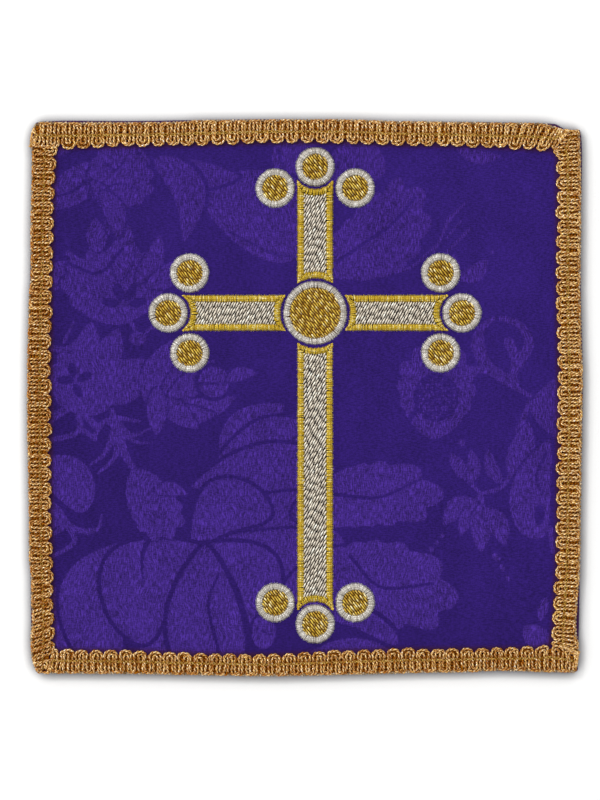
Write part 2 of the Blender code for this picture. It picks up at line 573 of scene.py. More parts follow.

# Each thread: its colour where it is dark, light, painted with a glint and painted with shade in its
# grooves, how metallic it is, how rough its glints and the rest are, and the lengths of its turns and of
# its glints
THREADS = {
    "gold gimp": (
        (0.36, 0.12, 0.002), (0.92, 0.60, 0.16), (1.0, 0.93, 0.80), (0.24, 0.052, 0.001),
        0.85, (0.20, 0.40), 1.3, 0.85,
    ),
    "gimp core": (
        (0.30, 0.080, 0.001), (0.50, 0.17, 0.004), (0.62, 0.26, 0.02), (0.15, 0.03, 0.001),
        0.4, (0.4, 0.55), 0.9, 1.5,
    ),
    "gimp chain": (
        (0.30, 0.12, 0.004), (0.66, 0.41, 0.06), (0.92, 0.76, 0.36), (0.16, 0.06, 0.002),
        0.8, (0.3, 0.45), 0.7, 1.0,
    ),
    "gimp edge": (
        (0.22, 0.13, 0.05), (0.46, 0.31, 0.16), (0.95, 0.84, 0.66), (0.12, 0.06, 0.02),
        0.4, (0.35, 0.5), 1.0, 0.9,
    ),
    "gold satin": (
        (0.60, 0.40, 0.027), (0.80, 0.60, 0.068), (0.94, 0.82, 0.39), (0.34, 0.19, 0.014),
        0.5, (0.28, 0.42), 0.6, 0.7,
    ),
    "silver satin": (
        (0.50, 0.46, 0.40), (0.76, 0.72, 0.66), (1.0, 0.98, 0.93), (0.28, 0.25, 0.22),
        0.5, (0.28, 0.42), 0.6, 0.7,
    ),
    "gold filling": (
        (0.58, 0.36, 0.036), (0.86, 0.64, 0.11), (1.0, 0.89, 0.52), (0.30, 0.15, 0.018),
        0.5, (0.28, 0.45), 1.4, 1.6,
    ),
    "silver filling": (
        (0.70, 0.62, 0.51), (0.96, 0.88, 0.73), (1.0, 1.0, 0.90), (0.42, 0.37, 0.31),
        0.4, (0.28, 0.45), 1.4, 1.6,
    ),
    "purple thread": (
        (0.03, 0.010, 0.14), (0.05, 0.018, 0.21), (0.10, 0.04, 0.33), (0.012, 0.004, 0.06),
        0.0, (0.4, 0.5), 0.5, 1.0,
    ),
}


def damask_material():
    """Purple damask: a dull satin ground and a lighter figure with slubs that run down the cloth, with
    painted light across it, and painted shade under the stitches and beside the braid.
    """
    material, tree, shader = new_material("purple damask", Specular_IOR_Level=0.06)
    place, x, y = object_place(tree)
    weave = place_group(tree, WEAVE, Thread_Pitch=THREAD_PITCH * MM)
    ragged = (noise_at(place, RAGGED_SIZE, 1.0) - 0.5) * RAGGED_DEPTH
    mask = (attribute(tree, "figure") + ragged).eased(*FIGURE_EDGE)
    slub = (weave["Slub"] - 0.36).made("MAXIMUM", -0.2) * mask.mapped(0, 1, *SLUB_STRENGTH)
    line = (weave["Line"] - 0.5) * mask.mapped(0, 1, *LINE_STRENGTH)
    patch = (noise_at(place, PATCH_SIZE) - 0.5) * PATCH_STRENGTH
    light = slub + line + (patch + 1.0)
    shade = value_from(tree, "ShaderNodeCombineColor", light, light, light)
    # Painted light: the ground lightens towards the upper right and the figure towards the bottom
    ground = mix_colours(tree, (x + y).mapped(-0.08, 0.1), GROUND_PAINTED_SHADE_LOWER_LEFT, GROUND_PAINTED_LIGHT_UPPER_RIGHT)
    figure = mix_colours(tree, y.mapped(0.06, -0.06), FIGURE_PAINTED_SHADE_TOP, FIGURE_PAINTED_LIGHT_BOTTOM)
    colour = mix_colours(tree, 1.0, mix_colours(tree, mask, ground, figure), shade, "MULTIPLY")
    # Painted shade: the cloth inside the stitched outlines is darkened where it shows between the stitches
    for name, shadow in STITCH_SHADOWS.items():
        colour = mix_colours(tree, attribute(tree, name).eased(*STITCH_SHADE), colour, shadow)
    # Painted shadow: the cloth is darkened and reddened close to the braid's inner edge, as a painted
    # reflection of the gold too
    painted_braid_shadow = attribute(tree, "from_braid").eased(*BRAID_SHADE)
    colour = mix_colours(tree, painted_braid_shadow, colour, BRAID_SHADOW)
    height = weave["Height"] * THREAD_RELIEF + mask * FIGURE_RELIEF + slub * SLUB_RELIEF
    finish_material(shader, colour, mask.mapped(0, 1, *DAMASK_ROUGHNESS), height, 0.05, 0.5)
    return material


def thread_material(name):
    """A wrapped metal thread: dark and light lengths, painted glints as bright flecks, and fine turns with
    painted shade in their grooves.
    """
    dark, light, painted_glint_colour, groove_shade, metallic, roughness, turn_length, fleck_length = THREADS[name]
    tint = (*[(1 + part) / 2 for part in light], 1)
    looks = {"Metallic": metallic, "Specular_IOR_Level": 0.12, "Specular_Tint": tint}
    material, tree, shader = new_material(name, **looks)
    twist = place_group(tree, THREAD_TWIST, Turn_Length=turn_length, Fleck_Length=fleck_length)
    # The tone mixes dark and light: random, and on the braid's cords also painted highlights and painted
    # light by side
    colour = mix_colours(tree, twist["Tone And Painted Light"], (*dark, 1), (*light, 1))
    # Painted glints on the lighter lengths, and painted shade in the grooves of the turns
    for label, most, over in (("Fleck", 0.95, painted_glint_colour), ("Groove Shade", 0.6, groove_shade)):
        colour = mix_colours(tree, twist[label] * most, colour, (*over, 1))
    dull = twist["Fleck"].mapped(0, 1, roughness[1], roughness[0])
    finish_material(shader, colour, dull, twist["Height"], 0.03, 0.6)
    return material


def floor_material():
    """A pale sheet with a painted contact shadow: darker close to what lies on it, and less so on the
    sides that the light is on.
    """
    material, tree, shader = new_material("pale floor", Roughness=0.9, Specular_IOR_Level=0.1)
    reach = CONTACT_SHADOW * MM
    open_sky = value_from(tree, "ShaderNodeAmbientOcclusion", output="AO", Distance=reach)
    _, x, y = object_place(tree)
    # Painted light: the painted shadow is lifted on the upper and left sides
    painted_light_lift = y.made("MAXIMUM", x * -1.0).eased(0.070, 0.081, 0.0, 0.05)
    share = (open_sky + painted_light_lift).mapped(0.5, 0.98)
    put_in(shader["Base Color"], mix_colours(tree, share, FLOOR_SHADOW, FLOOR_PALE))
    return material


# The cloth


def rim_ring(bm):
    """The points of the open edge, in order round it."""
    rim = [v for v in bm.verts if v.is_boundary]
    ring = [rim[0]]
    seen = {rim[0]}
    while len(ring) < len(rim):
        near = (e.other_vert(ring[-1]) for e in ring[-1].link_edges if e.is_boundary)
        ring.append(next(v for v in near if v not in seen))
        seen.add(ring[-1])
    return ring


def join_ring(bm, ring, places, height):
    """A new ring of points at a height, which faces join to the last one."""
    new = [bm.verts.new((x, y, height)) for x, y in places]
    for corners in zip(ring, ring[1:] + ring[:1], new[1:] + new[:1], new):
        bm.faces.new(corners)
    return new


def face_height(x, y):
    """The face's gentle waves, in millimetres."""
    waves = 0.06 * np.sin(x / 17 + 0.6) * np.cos(y / 23 - 0.4)
    waves += 0.045 * np.sin((x + 1.4 * y) / 31 + 1.9)
    waves += 0.03 * np.cos((1.7 * x - y) / 13 + 0.8)
    return CLOTH_TOP - 0.05 + waves


# How far inside the cloth's edge, and how high, each ring of the turned edge and its hem lies
EDGE_PROFILE = [
    (1.0, CLOTH_TOP - 0.03),
    (0.45, CLOTH_TOP - 0.17),
    (0.12, CLOTH_TOP - 0.55),
    (0.0, CLOTH_TOP / 2),
    (0.12, 0.55),
    (0.45, 0.17),
    (1.1, 0.0),
    (HEM_WIDTH - 1.6, 0.0),
    (HEM_WIDTH - 0.7, 0.05),
    (HEM_WIDTH - 0.15, 0.16),
    (HEM_WIDTH, 0.28),
    (HEM_WIDTH + 0.05, BACK_RECESS),
    (HEM_WIDTH + 0.8, BACK_RECESS),
]

# Each stitch of the hem: how far past the hem's inner fold, how far along, and how high it runs
HEM_STITCH = [(-1.2, -0.7, 0.2), (-0.9, -0.5, 0.11), (-0.1, 0.0, 0.13), (0.4, 0.4, 0.28), (0.7, 0.6, 0.5)]


def turned_edge(rim, outline):
    """The rings of the turned edge and of its hem, as places and heights, from the face's rim on."""
    angles = np.arctan2(rim[:, 1], rim[:, 0])
    reach = outline_radius(outline, angles)
    edge = np.stack([np.cos(angles), np.sin(angles)], axis=1) * reach[:, None]
    rings = [(edge * (1 - inset / PANEL_HALF), height) for inset, height in EDGE_PROFILE]
    return [((rim + rings[0][0]) / 2, CLOTH_TOP - 0.04)] + rings


def cloth_mesh(outline):
    """The face as a fine grid, its edge turned round to the hem, and the back set in between."""
    bm = bmesh.new()
    bmesh.ops.create_grid(bm, x_segments=FACE_CELLS, y_segments=FACE_CELLS, size=FACE_HALF)
    for vert in bm.verts:
        vert.co.z = face_height(vert.co.x, vert.co.y)
    ring = rim_ring(bm)
    for places, height in turned_edge(np.array([v.co[:2] for v in ring]), outline):
        ring = join_ring(bm, ring, places, height)
    bm.faces.new(ring)
    bmesh.ops.translate(bm, verts=bm.verts, vec=(*-OUTLINE_MIDDLE, 0))
    bmesh.ops.recalc_face_normals(bm, faces=bm.faces)
    bmesh.ops.scale(bm, verts=bm.verts, vec=(MM, MM, MM))
    mesh = bpy.data.meshes.new("pall_cloth")
    bm.to_mesh(mesh)
    bm.free()
    mesh.shade_smooth()
    return mesh


# The woven flowers, in millimetres from the middle of the pall, from the back to the front. A form is
# laid over what is there with a strip of bare ground round it, and a hole is cut out of it. A stem is
# a line that tapers from one width to another, and a vein is the same in ground.
# A form's columns: which form, the width of the bare strip, its base, its tip, its width, and how far
# it bows to its left, where it does. A line's columns: stem or vein, its width at the start and at
# the end, and its points.

# How blunt each form's base and tip are, blunter the lower, and its edge's lobes and their depth
FORMS = {
    "petal": (0.8, 0.42, 0, 0.0),
    "leaf": (0.7, 0.85, 0, 0.0),
    "frill": (0.6, 0.4, 13, 0.22),
    "round": (0.5, 0.5, 0, 0.0),
    "hole": (0.5, 0.5, 0, 0.0),
}
PEONY = [
    ("petal", 1.0, (-56, -52), (-75, -74), 17, -0.1),
    ("petal", 1.2, (-38, -50), (-38, -84), 20),
    ("leaf", 1.0, (-24, -20), (-6, -2), 12, 0.1),
    ("petal", 1.0, (-26, -19), (6, -14), 12, 0.15),
    ("vein", 0.8, 0.4, [(-8, -17), (-2, -11), (4, -11)]),
    ("petal", 1.1, (-33, -26), (9, -23), 14, 0.1),
    ("petal", 1.0, (-34, -42), (12, -48), 25, -0.05),
    ("petal", 0.9, (-32, -40), (13, -33), 10, 0.08),
    ("petal", 1.1, (-33, -43), (-11, -30), 16, 0.2),
    ("petal", 1.2, (-31, -43), (-12, -66), 14, 0.28),
    ("petal", 1.1, (-40, -40), (-60, -80), 21, -0.25),
    ("petal", 1.2, (-30, -43), (-52, -69), 23, -0.22),
    ("vein", 1.8, 0.4, [(-43, -38), (-47, -45), (-47, -55)]),
    ("petal", 1.4, (-29, -43), (-26, -82), 22, -0.05),
    ("vein", 0.6, 1.1, [(-25, -51), (-28, -60), (-25, -74)]),
    ("round", 0.7, (-12, -63), (-12, -73), 7),
    ("vein", 0.6, 0.5, [(-14, -67), (-10, -69)]),
    ("frill", 0.9, (-4, -34), (38, -28), 18, 0.06),
    ("vein", 1.2, 0.6, [(8, -28), (21, -29), (33, -24)]),
    ("frill", 0.9, (-6, -55), (42, -58), 24, 0.06),
    ("vein", 1.0, 0.8, [(13, -46), (22, -55), (37, -54)]),
    ("petal", 1.2, (0, -63), (27, -71), 6, 0.12),
    ("petal", 1.2, (-4, -78), (28, -78), 9, 0.12),
]
LEFT_FLOWERS = [
    ("leaf", 0.4, (-64, 6), (-62, 22), 8),
    ("leaf", 0.4, (-60, 5), (-54, 20), 8),
    ("leaf", 0.4, (-60, 2), (-46, 11), 8),
    ("leaf", 0.4, (-60, 0), (-46, 3), 7),
    ("frill", 0, (-60, -5), (-66, 14), 23),
    ("hole", 0, (-67, 5), (-72, 5), 2.4),
    ("hole", 0, (-67, 6), (-68, 10), 2.4),
    ("hole", 0, (-66, 5), (-62, 7), 2.4),
    ("hole", 0, (-67, 4), (-65, 0), 2.4),
    ("stem", 2.0, 1.6, [(-76, 15), (-69, 14), (-63, 19)]),
    ("stem", 1.1, 0.8, [(-70, 16), (-67, 22)]),
    ("leaf", 0.6, (-78, 33), (-61, 35), 8, 0.1),
    ("frill", 0.6, (-54, 21), (-56, 43), 30),
    ("leaf", 0.5, (-54, 34), (-51, 50), 6),
    ("leaf", 0.5, (-49, 33), (-42, 47), 6, -0.1),
    ("leaf", 0.5, (-46, 32), (-36, 40), 6, -0.1),
    ("hole", 0, (-53, 28), (-55, 33), 3),
    ("hole", 0, (-52, 28), (-49, 33), 2.6),
    ("hole", 0, (-51, 27), (-46, 28), 2.6),
    ("hole", 0, (-54, 27), (-59, 28), 2.6),
    ("stem", 1.3, 2.6, [(-69, 42), (-61, 38), (-53, 46)]),
    ("vein", 0.9, 1.0, [(-69, 39), (-60, 36), (-53, 43)]),
    ("leaf", 0.5, (-60, 42), (-61, 52), 6),
    ("stem", 0.9, 1.5, [(-53, 25), (-48, 18)]),
    ("round", 0.4, (-51, 17), (-46, 17), 4),
    ("stem", 0.8, 2.4, [(-46, 19), (-42, 22)]),
    ("leaf", 0.8, (-59, 68), (-78, 55), 10, 0.05),
    ("vein", 1.1, 0.5, [(-61, 65), (-67, 60), (-73, 58)]),
    ("frill", 0.6, (-62, 58), (-47, 69), 19),
    ("vein", 0.6, 0.5, [(-58, 68), (-55, 66), (-52, 69)]),
    ("vein", 0.6, 0.4, [(-58, 61), (-53, 62), (-48, 60)]),
    ("stem", 1.3, 0.8, [(-48, 72), (-44, 67)]),
    ("leaf", 0.6, (-62, 63), (-57, 47), 5, 0.15),
    ("leaf", 0.6, (-59, 60), (-54, 46), 6, 0.1),
    ("leaf", 0.5, (-79, 72), (-64, 74), 6),
]
TOP_PETALS = [
    ("petal", 1.0, (-5, 60), (-2, 76), 13),
    ("vein", 0.8, 0.4, [(-8, 72), (-5, 63)]),
    ("petal", 1.0, (-32, 61), (2, 46), 25, 0.04),
    ("vein", 0.7, 0.4, [(-22, 48), (-12, 43), (-8, 41)]),
    ("petal", 1.0, (-19, 64), (-40, 67), 8, 0.05),
    ("petal", 1.2, (-35, 45), (-42, 70), 10, -0.2),
    ("vein", 0.5, 0.4, [(-10, 42), (-1, 40)]),
    ("frill", 0.7, (4, 37), (33, 59), 21, -0.1),
    ("vein", 0.9, 0.8, [(9, 39), (19, 46), (25, 50), (32, 58)]),
    ("petal", 0.7, (4, 63), (23, 69), 13, 0.1),
    ("stem", 0.7, 0.9, [(16, 36), (29, 37), (38, 44)]),
    ("stem", 0.7, 1.3, [(37, 41), (42, 52)]),
    ("stem", 1.3, 0.5, [(42, 52), (47, 57)]),
    ("stem", 0.8, 0.9, [(37, 38), (48, 49)]),
    ("stem", 0.6, 0.8, [(41, 46), (45, 51)]),
    ("stem", 0.8, 1.2, [(40, 37), (43, 41), (45, 36)]),
    ("leaf", 0.3, (45, 34), (53, 40), 5, -0.1),
    ("stem", 1.2, 1.2, [(54.2, 42), (54.4, 42.3)]),
    ("leaf", 0.5, (44, 72), (57, 70), 4, -0.1),
]
SCROLLS = [
    ("stem", 1.0, 4.0, [(55, 23), (51, 20), (50, 15)]),
    ("stem", 4.0, 2.4, [(50, 15), (53, 9), (61, 4)]),
    ("stem", 1.6, 3.4, [(57, 23), (62, 21), (65, 16), (62, 10)]),
    ("stem", 3.0, 2.4, [(59, 16), (61, 11), (60, 4)]),
    ("frill", 0.4, (37, -12), (39, 14), 22),
    ("hole", 0, (38, -7), (38, 7), 13),
    ("vein", 1.8, 1.2, [(29, -8), (35, 0)]),
    ("vein", 0.8, 0.4, [(39, 5), (41, 9), (46, 8)]),
    ("stem", 2.8, 1.6, [(45, 7), (52, 8), (57, 5)]),
    ("stem", 1.6, 1.4, [(57, 5), (66, 0)]),
    ("petal", 0.7, (65, -3), (80, -3), 18),
    ("stem", 1.2, 2.4, [(65, -1), (62, -10)]),
    ("petal", 0.4, (65, -7), (61, -23), 8),
    ("petal", 0.5, (71, -12), (66, -41), 12, -0.1),
    ("hole", 0, (68, -31), (68, -37), 3),
    ("vein", 0.8, 0.5, [(70, -16), (67, -23), (69, -28)]),
    ("stem", 1.6, 1.2, [(71, -38), (72, -45)]),
    ("leaf", 0.5, (70, -58), (68, -65), 3),
    ("leaf", 0.4, (64, -66), (69, -75), 7, 0.1),
]
SPRIGS = [
    ("stem", 1.0, 1.4, [(51, -28), (57, -26), (61, -20)]),
    ("leaf", 0.3, (57, -25), (53, -15), 4, 0.1),
    ("stem", 0.9, 1.3, [(51, -28), (46, -23)]),
    ("leaf", 0.3, (47, -24), (42, -16), 4),
    ("leaf", 0.3, (48, -25), (48, -15), 4, -0.1),
    ("stem", 1.9, 1.9, [(45.2, -13), (45.6, -13.4)]),
    ("stem", 1.2, 1.8, [(51, -28), (48, -32)]),
    ("leaf", 0.3, (50, -30), (40, -37), 6, -0.15),
    ("leaf", 0.3, (48, -32), (45, -40), 4),
    ("stem", 1.3, 1.0, [(39.8, -40), (39.6, -40.3)]),
    ("stem", 1.1, 1.1, [(38.2, -42), (38, -42.3)]),
    ("stem", 1.5, 1.5, [(36.6, -44), (36.5, -44.2)]),
    ("stem", 1.0, 1.8, [(51, -28), (52, -33)]),
    ("leaf", 0.3, (51, -31), (51, -45), 6),
    ("leaf", 0.3, (52, -32), (58, -43), 6, 0.1),
    ("stem", 1.7, 1.4, [(55, -46), (56, -47)]),
    ("stem", 1.3, 1.1, [(57, -49), (57.5, -50)]),
    ("stem", 1.1, 1.0, [(58.5, -52), (59, -53)]),
]
THISTLE = [
    ("leaf", 0.5, (-43, -6), (-38, 17), 9, 0.12),
    ("leaf", 0.5, (-42, -5), (-30, 15), 8),
    ("leaf", 0.5, (-41, -4), (-26, 11), 7),
    ("leaf", 0.5, (-41, -3), (-20, 0), 7, -0.1),
    ("leaf", 0.5, (-42, -2), (-26, -5), 6, -0.1),
    ("leaf", 0.5, (-43, 0), (-31, -9), 6),
    ("leaf", 0.5, (-43, 3), (-43, -11), 6),
    ("round", 1.1, (-31, 4), (-22, 5), 9),
    ("vein", 0.7, 0.5, [(-31, 4), (-23, 4)]),
    ("leaf", 0.3, (-23, 5), (-14, 7), 4, 0.1),
    ("stem", 1.8, 1.3, [(-49, 6), (-43, 4)]),
    ("stem", 2.4, 0.6, [(-55, -9), (-58, -16), (-63, -20)]),
    ("stem", 2.6, 0.7, [(-54, -10), (-55, -17), (-60, -22)]),
    ("stem", 2.4, 1.8, [(-54, -10), (-52, -17), (-48, -23)]),
    ("stem", 1.8, 0.5, [(-54, -8), (-50, -11), (-45, -9)]),
    ("stem", 1.5, 0.4, [(-53, -10), (-49, -13), (-44, -13)]),
    ("stem", 2.4, 1.0, [(-54, -8), (-58, -7), (-61, -11)]),
    ("stem", 2.6, 1.8, [(-55, -9), (-56, -4)]),
    ("stem", 1.5, 0.8, [(-54, -6), (-48, -7)]),
    ("frill", 0.4, (-50, -21), (-39, -40), 14),
    ("leaf", 0.4, (-44, -27), (-34, -28), 4, 0.1),
]
LEFT_EDGE = [
    ("petal", 0.6, (-82, -20), (-62, -31), 13, 0.15),
    ("leaf", 0.5, (-80, -32), (-69, -36), 8),
    ("stem", 1.4, 1.6, [(-70, -35), (-67, -38), (-63, -39)]),
    ("stem", 1.6, 0.7, [(-63, -39), (-60, -38), (-59, -34)]),
    ("stem", 1.8, 1.0, [(-70, -36), (-67, -42), (-75, -47)]),
    ("stem", 1.6, 1.0, [(-69, -37), (-75, -41)]),
    ("stem", 3.4, 1.2, [(-76, -7), (-66, -2)]),
    ("stem", 1.1, 2.2, [(-66, -3), (-61, -8)]),
    ("stem", 1.8, 1.4, [(-66, -3), (-66, -10), (-76, -13)]),
    ("stem", 1.2, 1.5, [(-65, -9), (-61, -12)]),
]
# Small dots in the open middle of the round flower: their middle, reach and spacing
SPECKLED = ((38, 0), 6.0, 1.25)
# The depth of what lies well outside a shape
OUTSIDE = -3.0


def motif_outline(form, base, tip, width, bow=0.0):
    """The outline of a form that goes from its base to its tip and bows to its left."""
    base_end, tip_end, lobes, depth = FORMS[form]
    ahead = np.subtract(tip, base).astype(float)
    aside = np.array([-ahead[1], ahead[0]])
    share = (1 - np.cos(np.linspace(0, math.pi, 41))) / 2
    widest = base_end / (base_end + tip_end)
    full = share**base_end * (1 - share) ** tip_end / (widest**base_end * (1 - widest) ** tip_end)
    half = full * width / 2 / np.linalg.norm(ahead)
    along = np.concatenate([share, share[-2:0:-1]]) - 0.5
    side = np.concatenate([half, -half[-2:0:-1]])
    lobed = 1 + depth * (np.abs(np.cos(lobes / 2 * np.arctan2(side, along))) - 0.5) * (along + 0.5)
    along = along * lobed + 0.5
    side = side * lobed + bow * np.sin(math.pi * along.clip(0, 1))
    return np.array(base) + np.outer(along, ahead) + np.outer(side, aside)


def lay_form(figure, places, form, border, *shape):
    """Lays a form over the figure, with a strip of bare ground round it, or cuts a hole."""
    outline = motif_outline(form, *shape)
    near = near_line(places, outline)
    depth = inside_depth(places[near], outline)
    bare = np.minimum(figure[near], -depth - border)
    figure[near] = bare if form == "hole" else np.maximum(depth, bare)


def near_line(places, line):
    """Which places are within 3 mm of the box round a line."""
    return np.flatnonzero(((places > line.min(0) - 3) & (places < line.max(0) + 3)).all(1))


def lay_line(figure, places, kind, start_width, end_width, points):
    """Adds a stem to the figure, or cuts a vein from it."""
    line = smooth_curve(points, 0.8)
    near = near_line(places, line)
    depth = stroke_depth(places[near], line, start_width, end_width)
    if kind == "stem":
        figure[near] = np.maximum(figure[near], depth)
    else:
        figure[near] = np.minimum(figure[near], -depth)


def damask_figure(places):
    """How deep inside the woven figure each place is, in millimetres, negative on the ground."""
    figure = np.full(len(places), OUTSIDE)
    for kind, *numbers in PEONY + LEFT_FLOWERS + TOP_PETALS + SCROLLS + SPRIGS + THISTLE + LEFT_EDGE:
        lay = lay_form if kind in FORMS else lay_line
        lay(figure, places, kind, *numbers)
    middle, reach, spacing = SPECKLED
    for row in np.arange(-reach, reach, spacing * 0.87):
        for across in np.arange(-reach, reach, spacing):
            spot = np.array([across + random.uniform(-0.3, 0.3), row + random.uniform(-0.3, 0.3)])
            if np.hypot(*spot) < reach:
                apart = np.hypot(*(places - middle - spot).T)
                figure[:] = np.maximum(figure, random.uniform(0.3, 0.5) - apart)
    return figure


def from_braid(places):
    """How far each place is from the inner edge of the nearest braid, negative under it."""
    apart = np.full(len(places), 9.0)
    for side, directions in SIDE_DIRECTIONS.items():
        along, out = (places @ np.array(directions, float).T).T
        apart = np.minimum(apart, width_limits(side, strip_edges(side), along)[0] - out)
    return apart


def make_cloth(material):
    """The cloth. Each point keeps its depth in the figure and under the stitches, and from the braid."""
    mesh = cloth_mesh(cloth_outline())
    points = np.zeros(len(mesh.vertices) * 3, np.float32)
    mesh.vertices.foreach_get("co", points)
    points = points.reshape(-1, 3) / MM
    points[:, :2] += OUTLINE_MIDDLE
    on_face = points[:, 2] > CLOTH_TOP / 2
    places = points[on_face, :2]
    bars, rounds = cross_outlines()
    measured = {
        "figure": damask_figure(places),
        "from_braid": from_braid(places),
        "under_silver": under_stitches(places, bars),
        "under_gold": under_stitches(places, rounds),
    }
    for name, values in measured.items():
        depth = np.full(len(points), OUTSIDE)
        depth[on_face] = values
        store(mesh, name, depth)
    mesh.materials.append(material)
    return belong(put_in_scene("pall_cloth", mesh), "damask_panel")


def make_hem_stitches(material):
    """Small slanted stitches that hold the turned edge down on the back, from the hem to the cloth."""
    edge, ahead = walk_round(cloth_outline(), HEM_STITCH_SPACING)
    paths = []
    for inset, slant, height in HEM_STITCH:
        places = edge * (1 - (HEM_WIDTH + inset) / PANEL_HALF) + ahead * slant - OUTLINE_MIDDLE
        paths.append(np.column_stack([places, np.full(len(places), height)]))
    tones = random.uniform(0, 1, len(edge))
    bundle = tubes(np.stack(paths, axis=1), HEM_STITCH_RADIUS, 6, tones)
    return thread_piece("hem_stitches", [bundle], material, "damask_panel", "damask")


# The braid

# Each of the two looping cords: how far its loops reach either way inside and outside the chain, as
# shares of the pitch, and how much further at their inner tips; then how far out the inner and the
# outer tips are, and how deep the tips' curves are, as shares of the braid's width
CORDS = [
    (0.35, 0.15, 1.12, 0.02, 0.91, 0.19, 0.04),
    (0.15, 0.35, 1.0, 0.145, 0.97, 0.08, 0.05),
]
# How far apart the points along a cord are
CORD_STEP = 0.27
# A cord's two strands: their radius, how far they lie from its middle line, and the length of a turn
PLY_RADIUS = 0.24
PLY_OFFSET = 0.22
PLY_TURN = 2.4
# How high a cord runs at the edges, how far it arches between them, and how far the chain pulls it down
CORD_LOW = 0.60
CORD_ARCH = 0.32
CHAIN_PULL = 0.38
# How near a corner the cords lie less evenly, and how far and how near the end they bend down
CORNER_REACH = 3.5
END_DROP = 0.3
END_REACH = 0.8
# How much lighter each side's cords are painted, as painted light that falls more on some sides
SIDE_PAINTED_LIGHT = {"top": 0.09, "right": 0.14, "bottom": 0.02, "left": -0.06}

# The chain: its share of the braid's width, its radius, and how high it runs on each side
CHAIN_SHARE = 0.48
CHAIN_RADIUS = 0.18
CHAIN_LEVEL = {"top": 0.80, "right": 0.72, "bottom": 0.76, "left": 0.60}

# The threads under the cords: their shares of the width, how far the innermost one follows the
# scallops, and their radius
GROUND_SHARES = (0.17, 0.31, 0.43, 0.55, 0.67, 0.79, 0.92)
GROUND_WAVE = 0.075
GROUND_RADIUS = 0.43

# The edge thread: its share of the width, how high over the cloth it runs, and its radius
EDGE_SHARE = 0.99
EDGE_LEVEL = 0.5
EDGE_RADIUS = 0.29


def hill(values, middle, width):
    """One at the middle, falling smoothly to almost nothing at twice the width from it."""
    return np.exp(-(((values - middle) / width) ** 2))


def strip_edges(side):
    """The inner and the outer edge of one length of braid: places along it and distances out."""
    directions = np.array(SIDE_DIRECTIONS[side], float)
    first, last = (CORNERS[name] for name in SIDE_ENDS[side])

    def turned(points):
        return [tuple(directions @ np.array(point, float)) for point in points]

    inner = [(row[0], row[3]) for row in SIDE_ROWS[side]]
    outer = [(row[0], row[2]) for row in SIDE_ROWS[side]]
    inner = turned(first["outer"] + first["inner"]) + inner + turned(last["inner"] + last["outer"])
    outer = turned(first["outer"] + first["after"]) + outer + turned(last["before"] + last["outer"])
    lines = []
    for line in (inner, outer):
        line = np.array(line)
        line[:, 0] = np.maximum.accumulate(line[:, 0]) + np.arange(len(line)) * 1e-4
        lines.append(line)
    return lines


def drift(count, every, amount):
    """A slow random wander of count values that turns about every so many of them."""
    knots = random.normal(0, amount, max(4, math.ceil(count / every) + 3))
    return np.interp(np.arange(count), np.arange(len(knots)) * every, knots)


def cord_path(start, end, loops, cord):
    """One cord of the braid, as places along and shares of the width, looping from edge to edge."""
    inside, outside, tip, inner_end, outer_end, inner_deep, outer_deep = cord
    pitch = (end - start) / loops
    inside, outside = inside * pitch, outside * pitch
    tip = tip * inside
    crossing = [CHAIN_SHARE - 0.06]
    quarter = np.linspace(0, math.pi / 2, 7)
    aside, back = np.sin(quarter), 1 - np.cos(quarter)
    made = []
    for number in range(loops):
        centre = start + (number + 0.5 + random.normal(0, 0.02)) * pitch
        low = inner_end + random.normal(0, 0.014)
        high = outer_end + random.normal(0, 0.010)
        before, after = start + number * pitch, start + (number + 1) * pitch
        made += [
            (before + outside * aside**0.7, high - outer_deep * back**1.4),
            ([centre - inside], crossing),
            (centre - tip * aside[::-1] ** 0.85, low + inner_deep * back[::-1]),
            (centre + tip * aside**0.85, low + inner_deep * back),
            ([centre + inside], crossing),
            (after - outside * aside[::-1] ** 0.7, high - outer_deep * back[::-1] ** 1.4),
        ]
    return np.hstack(made).T


def width_limits(side, edges, s):
    """How far out the cords' inner and outer limits are, at places along one length of braid."""
    inner, outer = edges
    low = np.interp(s, inner[:, 0], inner[:, 1]) - INNER_REACH[side]
    trim = np.interp(s, *np.array(OUTER_TRIM[side], float).T)
    return low, np.interp(s, outer[:, 0], outer[:, 1]) - trim


def strip_place(side, edges, s, t, z):
    """Places along, shares of the width and heights, as points on the pall."""
    along, out = np.array(SIDE_DIRECTIONS[side], float)
    low, high = width_limits(side, edges, s)
    lean = np.interp(s, *np.array(CORD_LEAN[side], float).T)
    s = s + lean * (t - 0.5) * (high - low)
    low, high = width_limits(side, edges, s)
    away = low + t * (high - low)
    flat = np.outer(s, along) + np.outer(away, out) - OUTLINE_MIDDLE
    return np.column_stack([flat, z])


def cord_height(t):
    """How high the middle of a cord runs over the cloth, by its share of the braid's width."""
    arch = CORD_LOW + CORD_ARCH * np.sin(math.pi * t.clip(0.02, 0.98)) ** 0.6
    return arch - CHAIN_PULL * hill(t, CHAIN_SHARE, 0.09)


def two_ply(path):
    """The two strands that twist round each other along a cord's path, and how high each one lies."""
    ahead = unit(np.gradient(path, axis=0))
    beside = unit(np.cross(ahead, UP))
    above = np.cross(beside, ahead)
    angle = 2 * math.pi * travelled(path) / PLY_TURN + drift(len(path), 30, 0.8)
    turns = np.array([angle, angle + math.pi])
    aside, high = np.cos(turns)[:, :, None], np.sin(turns)[:, :, None]
    return path + PLY_OFFSET * (aside * beside + high * above), high[:, :, 0]


